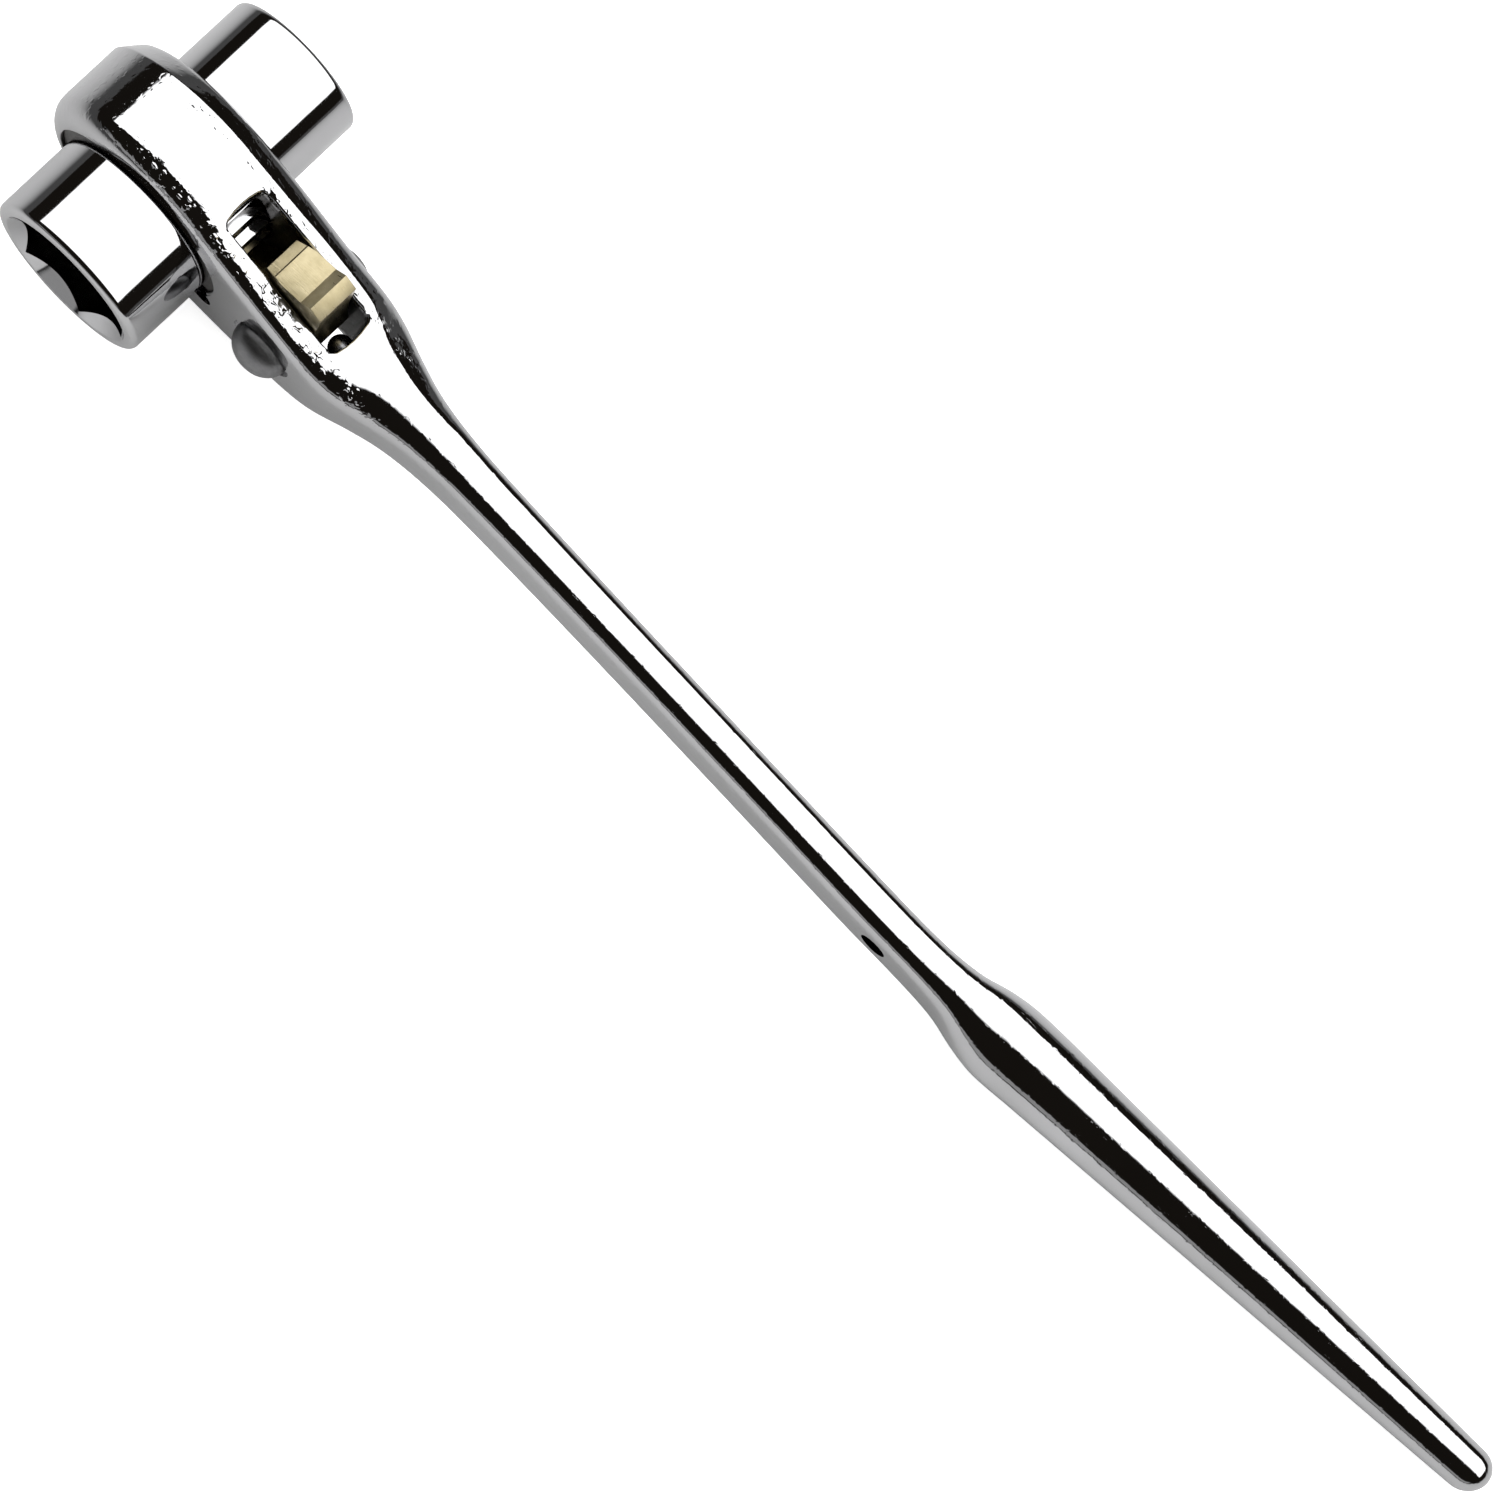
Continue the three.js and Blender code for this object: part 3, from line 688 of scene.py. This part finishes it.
def makeBarrel(name, size, nodes=()):
    out = math.copysign(1, size["mouthY"])
    lip, radius, mouth = socket["lip"], size["radius"], size["mouthY"]
    inner = (socket["halfWidth"] - 0.25) * out
    edge = [(radius - lip + lip * math.sin(a), mouth - out * (lip - lip * math.cos(a)))
            for a in (math.pi / 2 * i / 8 for i in range(9))]
    profile = [(0, mouth), (radius - lip - 0.35, mouth)] + edge
    profile += [(radius, mouth - out * 3), (radius, inner + out * 1.0), (radius + 0.05, inner)]
    profile += [(0, inner)]
    bm = turned(profile, 144)
    piece = meshObject(name, bm)
    cut(piece, discCutter(socket["throughRadius"], -30, 30, 64))
    cut(piece, hexCutter(size))
    cut(piece, leadCutter(size))
    bm = bmesh.new()
    bm.from_mesh(piece.data)
    bmesh.ops.remove_doubles(bm, verts=bm.verts, dist=0.01)
    bmesh.ops.dissolve_degenerate(bm, edges=bm.edges, dist=0.01)
    bm.to_mesh(piece.data)
    bm.free()
    paintPoints(piece, "paintedShade", lambda x, y, z: barrelShadeMask(size, x, y, z))
    finishPiece(piece, socketChrome, "socket", nodes, 30)


def makeWheel():
    bm = bmesh.new()
    teeth = socket["teeth"]
    bmesh.ops.create_circle(bm, segments=teeth * 4, radius=1, cap_ends=False)
    bmesh.ops.rotate(bm, verts=bm.verts, cent=(0, 0, 0), matrix=Matrix.Rotation(math.pi / 2, 3, "X"))
    pitch = fullTurn / teeth
    ordered = sorted(bm.verts, key=lambda vert: math.atan2(vert.co.z, vert.co.x) % fullTurn)
    root, tip = socket["rootRadius"], socket["tipRadius"]
    rootTurn, tipTurn = math.radians(socket["rootTurn"]), math.radians(socket["tipTurn"])
    spots = [(root, rootTurn), (tip, pitch / 2 - tipTurn), (tip, pitch / 2 + tipTurn),
             (root, pitch - rootTurn)]
    for i, vert in enumerate(ordered):
        radius, angle = spots[i % 4]
        angle += (i // 4) * pitch
        vert.co = (radius * math.cos(angle), -socket["halfWidth"], radius * math.sin(angle))
    rim = list(bm.edges)
    inner = bmesh.ops.extrude_edge_only(bm, edges=rim)["geom"]
    for item in inner:
        if isinstance(item, bmesh.types.BMVert):
            flat = Vector((item.co.x, 0, item.co.z)).normalized() * (socket["throughRadius"] + 0.02)
            item.co = (flat.x, item.co.y, flat.z)
    bmesh.ops.recalc_face_normals(bm, faces=bm.faces)
    grown = bmesh.ops.extrude_face_region(bm, geom=list(bm.faces) + list(bm.edges) + list(bm.verts))["geom"]
    lifted = [item for item in grown if isinstance(item, bmesh.types.BMVert)]
    bmesh.ops.translate(bm, vec=(0, 2 * socket["halfWidth"], 0), verts=lifted)
    bmesh.ops.recalc_face_normals(bm, faces=bm.faces)
    crisp = [edge for edge in bm.edges if edge.calc_face_angle(0) > math.radians(28)
             and Vector((edge.verts[0].co.x, edge.verts[0].co.z)).length > 14]
    bmesh.ops.bevel(bm, geom=crisp, offset=socket["toothEdge"], offset_type="OFFSET", segments=2, profile=0.5,
                    affect="EDGES", material=-1, clamp_overlap=True)
    piece = meshObject("ratchetWheel", bm)
    finishPiece(piece, socketChrome, "socket", (), 30)


makeBarrel("largeBarrel", socket["large"], ["double_socket"])
makeBarrel("smallBarrel", socket["small"])
makeWheel()

# The retaining ring and the washer behind it.
ring = {"outer": 18.0, "inner": 16.2, "faceY": -8.3, "thick": 0.9, "gapAt": -21, "gap": 26, "edge": 0.18}
washer = {"inner": 15.85, "slack": 0.25, "nearY": -7.1, "farY": -4.8, "edge": 0.2}


def roundedBox(inner, outer, low, high, edge):
    corners = [((outer - edge, low + edge), -90), ((outer - edge, high - edge), 0),
               ((inner + edge, high - edge), 90), ((inner + edge, low + edge), 180)]
    points = []
    for centre, start in corners:
        points += arcPoints(centre, (edge, edge), start, start + 90, 3)
    return points


def makeRing():
    bm = bmesh.new()
    section = roundedBox(ring["inner"], ring["outer"], ring["faceY"], ring["faceY"] + ring["thick"],
                         ring["edge"])
    verts = [bm.verts.new((radius, y, 0)) for radius, y in section]
    face = bm.faces.new(verts)
    first = math.radians(-(ring["gapAt"] + ring["gap"] / 2))
    bmesh.ops.rotate(bm, verts=verts, cent=(0, 0, 0), matrix=Matrix.Rotation(first, 3, "Y"))
    turn = -math.radians(360 - ring["gap"])
    bmesh.ops.spin(bm, geom=verts + list(face.edges) + [face], axis=(0, 1, 0), cent=(0, 0, 0), steps=150,
                   angle=turn)
    bmesh.ops.remove_doubles(bm, verts=bm.verts, dist=1e-4)
    bmesh.ops.recalc_face_normals(bm, faces=bm.faces)
    piece = meshObject("snapRing", bm)
    finishPiece(piece, springSteel, "handle", ["retaining_ring"])


def makeWasher():
    section = roundedBox(washer["inner"], forging["boreRadius"] - washer["slack"], washer["nearY"],
                         washer["farY"], washer["edge"])
    bm = turned(section + section[:1], 128)
    piece = meshObject("coverWasher", bm)
    finishPiece(piece, springSteel, "handle", ["cover_washer"])


makeRing()
makeWasher()

# The pawl, its rivet, and the plunger with its spring.
pawlLook = {"edge": 0.00022, "facet": 24}


def makePawl():
    bm = bmesh.new()
    bm.from_mesh(frame["nodes"]["pawl"].data)
    bmesh.ops.remove_doubles(bm, verts=bm.verts, dist=1e-6)
    bmesh.ops.dissolve_limit(bm, angle_limit=math.radians(1), verts=bm.verts, edges=bm.edges)
    sharp = [edge for edge in bm.edges if edge.calc_face_angle(0) > math.radians(pawlLook["facet"])]
    bmesh.ops.bevel(bm, geom=sharp, offset=pawlLook["edge"], offset_type="OFFSET", segments=3, profile=0.5,
                    affect="EDGES", material=-1, clamp_overlap=True)
    bmesh.ops.transform(bm, matrix=layDown.inverted(), verts=bm.verts)
    piece = meshObject("rockingPawl", bm)
    finishPiece(piece, nickelSatin, "pawl", ["pawl"], 28)


# each head has its radius, its rise and the Y of the face it sits on
rivet = {"low": (5.25, 4.35, -9.3), "high": (4.25, 2.65, 9.5), "shank": 2.5, "unevenness": 0.03}


def makeRivet():
    lowRadius, lowRise, lowY = rivet["low"]
    highRadius, highRise, highY = rivet["high"]
    profile = [(lowRadius * math.sin(a), lowY - lowRise * math.cos(a) ** 0.9)
               for a in (math.pi / 2 * i / 16 for i in range(16))] + [(lowRadius, lowY)]
    profile += [(rivet["shank"], lowY), (rivet["shank"], highY), (highRadius, highY)]
    profile += [(highRadius * math.sin(a), highY + highRise * math.cos(a) ** 0.9)
                for a in (math.pi / 2 * (15 - i) / 16 for i in range(16))]
    bm = turned(profile, 72)
    for vert in bm.verts:          # peening leaves the domes a little uneven
        if abs(vert.co.y) > 9:
            vert.co += vert.co.normalized() * rivet["unevenness"] * noise.noise(vert.co * 0.5)
    piece = meshObject("pawlRivet", shifted(bm, pinX))
    finishPiece(piece, rivetSteel, "handle", ["pawl_rivet"])


plunger = {"radius": 2.2, "noseX": pinX + 6.42, "length": 8.0, "backEdge": 0.3, "coil": 1.75, "wire": 0.3,
           "turns": 6, "gap": 0.1, "holeEnd": 52.0, "travel": 1.05}


def makePlunger():
    nose = arcPoints((0, plunger["radius"]), (plunger["radius"], plunger["radius"]), -90, 0, 8)
    nose[0] = (0, 0)
    end = plunger["length"]
    edge, radius = plunger["backEdge"], plunger["radius"]
    profile = nose + [(radius, end - edge), (radius - edge, end), (0, end)]
    bm = turned(profile, 40)
    bmesh.ops.rotate(bm, verts=bm.verts, cent=(0, 0, 0), matrix=Matrix.Rotation(-math.pi / 2, 3, "Z"))
    piece = meshObject("springPlunger", shifted(bm, plunger["noseX"]))
    finishPiece(piece, springSteel, "plunger", ["plunger"])


# The coil's far end stays in the hole; the coil is a fixed helix behind the plunger.
def makeSpring():
    wire, turns, steps = plunger["wire"], plunger["turns"], plunger["turns"] * 28
    start = plunger["noseX"] + plunger["length"] + plunger["gap"] + wire
    end = plunger["holeEnd"] - plunger["gap"] - wire
    bm = bmesh.new()
    bmesh.ops.create_circle(bm, segments=12, radius=wire, cap_ends=True)
    bmesh.ops.translate(bm, vec=(start, plunger["coil"], 0), verts=bm.verts)
    bmesh.ops.spin(bm, geom=bm.verts[:] + bm.edges[:] + bm.faces[:], axis=(1, 0, 0), cent=(0, 0, 0),
                   dvec=((end - start) / steps, 0, 0), angle=turns * fullTurn, steps=steps)
    bmesh.ops.remove_doubles(bm, verts=bm.verts, dist=1e-5)
    bmesh.ops.recalc_face_normals(bm, faces=bm.faces)
    piece = meshObject("plungerCoil", bm)
    finishPiece(piece, springSteel, "handle", ["plunger_spring"])
    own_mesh(piece)


makePawl()
makeRivet()
makePlunger()
makeSpring()
print("pieces ready")

# The floor, the lights and the camera.
studio = {
    "floor": (0.90, 0.90, 0.90), "floorHalf": 12.0,
    "glow": 0.8,                      # evens the floor out to white, so that only a faint shadow is left
    "mirrored": 0.56,                 # how bright the floor looks in the chrome, against the open floor
    "mirroredFar": 0.06,              # the same far away from the wrench
    "halfLength": 0.15,               # half the wrench, where that starts to fall away past its ends
    "mirrorFade": (0.0, 0.20),        # metres from the wrench over which it falls away
    "panelHeight": 4.0,
    "panelAngles": (-8, 67),          # from straight up, where the panel starts and ends towards +Y
    "panelSide": 70, "panelStrength": 2.3, "panelEdge": 0.05,
    "cardDistance": 5.0, "cardAngle": 14, "cardWidth": 16, "cardStrength": 0.40, "cardEdge": 0.2,
    "fillStrength": 1.15, "fillSize": 7.0, "fillHeight": 3.6, "fillY": -1.2,
    "sky": (0.012, 0.010, 0.008), "lens": 208.32,
    "eye": (31.28, -298.74, 1355.93), "target": (129.638, 3.619, 0.0), "roll": 64.3036,
}


def fade(tree, value, start, end):
    node = tree.nodes.new("ShaderNodeMapRange")
    node.interpolation_type = "SMOOTHSTEP"
    tree.links.new(value, node.inputs["Value"])
    for label, number in zip(("From Min", "From Max", "To Min", "To Max"), (start, end, 1.0, 0.0)):
        node.inputs[label].default_value = number
    return node.outputs["Result"]


def makeFloor():
    bm = bmesh.new()
    bmesh.ops.create_grid(bm, x_segments=2, y_segments=2, size=studio["floorHalf"])
    piece = meshObject("floor", bm)
    material, tree, shader = blankMaterial("paleFloor", 0.0, **{"Roughness": 0.9, "Specular IOR Level": 0.0})
    place = tree.nodes.new("ShaderNodeTexCoord").outputs["Object"]
    pale = studio["floor"]
    plain = tintBetween(tree, noiseAt(tree, place, 3, 3), pale, tuple(value * 1.02 for value in pale))
    axes = tree.nodes.new("ShaderNodeSeparateXYZ")
    tree.links.new(place, axes.inputs[0])
    beyondEnd = addMath(tree, "SUBTRACT", addMath(tree, "ABSOLUTE", axes.outputs["X"]), studio["halfLength"])
    away = addMath(tree, "MAXIMUM", beyondEnd, axes.outputs["Y"])
    near = fade(tree, away, *studio["mirrorFade"])
    bright = tuple(value * studio["mirrored"] for value in pale)
    seen = tintBetween(tree, near, tuple(value * studio["mirroredFar"] for value in pale), bright)
    ray = tree.nodes.new("ShaderNodeLightPath")
    tree.links.new(mixColours(tree, ray.outputs["Is Glossy Ray"], plain, seen), shader.inputs["Base Color"])
    tree.links.new(plain, shader.inputs["Emission Color"])
    tree.links.new(addMath(tree, "MULTIPLY", ray.outputs["Is Camera Ray"], studio["glow"]),
                   shader.inputs["Emission Strength"])
    piece.data.materials.append(material)


# A glowing sheet whose light fades towards its edges, seen in the chrome but not by the camera.
def makeSheet(name, width, depth, strength, edge, place, tilt=0.0):
    bm = bmesh.new()
    bmesh.ops.create_grid(bm, x_segments=1, y_segments=1, size=0.5)
    piece = meshObject(name, bm)
    piece.data.transform(Matrix.Diagonal((width, depth, 1, 1)))
    piece.location, piece.rotation_euler = place, (tilt, 0, 0)
    material = bpy.data.materials.new(name)
    material.use_nodes = True
    tree = material.node_tree
    tree.nodes.remove(tree.nodes["Principled BSDF"])
    glow = tree.nodes.new("ShaderNodeEmission")
    tree.links.new(glow.outputs[0], tree.nodes["Material Output"].inputs["Surface"])
    spot = tree.nodes.new("ShaderNodeTexCoord").outputs["Object"]
    axes = tree.nodes.new("ShaderNodeSeparateXYZ")
    tree.links.new(spot, axes.inputs[0])
    fades = []
    for axis, size in (("X", width), ("Y", depth)):
        reach = addMath(tree, "ABSOLUTE", axes.outputs[axis])
        fades.append(fade(tree, reach, size / 2 * (1 - 2 * edge), size / 2))
    shape = addMath(tree, "MULTIPLY", *fades)
    tree.links.new(addMath(tree, "MULTIPLY", shape, strength), glow.inputs["Strength"])
    piece.data.materials.append(material)
    piece.visible_camera = False
    piece.visible_shadow = False


def makeLights():
    height = studio["panelHeight"]
    low, high = (height * math.tan(math.radians(angle)) for angle in studio["panelAngles"])
    side = height * math.tan(math.radians(studio["panelSide"]))
    makeSheet("softPanel", 2 * side, high - low, studio["panelStrength"], studio["panelEdge"],
              (0, (low + high) / 2, height))
    tall = studio["cardDistance"] * math.tan(math.radians(studio["cardAngle"]))
    makeSheet("lowCard", studio["cardWidth"], tall, studio["cardStrength"], studio["cardEdge"],
              (0, -studio["cardDistance"], tall / 2), math.pi / 2)
    light = bpy.data.lights.new("floorFill", "AREA")
    light.shape, light.size = "SQUARE", studio["fillSize"]
    light.energy = studio["fillStrength"] * math.pi * light.size**2
    fill = bpy.data.objects.new("floorFill", light)
    fill.location = (0, studio["fillY"], studio["fillHeight"])
    fill.visible_glossy = False                # it evens out the floor and doesn't show in the chrome
    bpy.context.scene.collection.objects.link(fill)
    world = bpy.data.worlds.new("studio")
    world.use_nodes = True
    world.node_tree.nodes["Background"].inputs["Color"].default_value = (*studio["sky"], 1)
    bpy.context.scene.world = world
    bpy.context.scene.view_settings.view_transform = "Standard"


def makeCamera():
    lens = bpy.data.cameras.new("camera")
    lens.lens, lens.sensor_width = studio["lens"], 36
    lens.clip_start, lens.clip_end = 0.01, 100
    camera = bpy.data.objects.new("camera", lens)
    eye, target = Vector(studio["eye"]), Vector(studio["target"])
    turn = (target - eye).to_track_quat("-Z", "Y").to_matrix().to_4x4()
    turn = turn @ Matrix.Rotation(math.radians(studio["roll"]), 4, "Z")
    placed = layDown @ Matrix.Translation(eye) @ turn
    place, rotation, _ = placed.decompose()
    camera.location, camera.rotation_mode = place, "QUATERNION"
    camera.rotation_quaternion = rotation
    bpy.context.scene.collection.objects.link(camera)
    bpy.context.scene.camera = camera


makeFloor()
makeLights()
makeCamera()
print("studio ready")

bpy.context.view_layer.update()
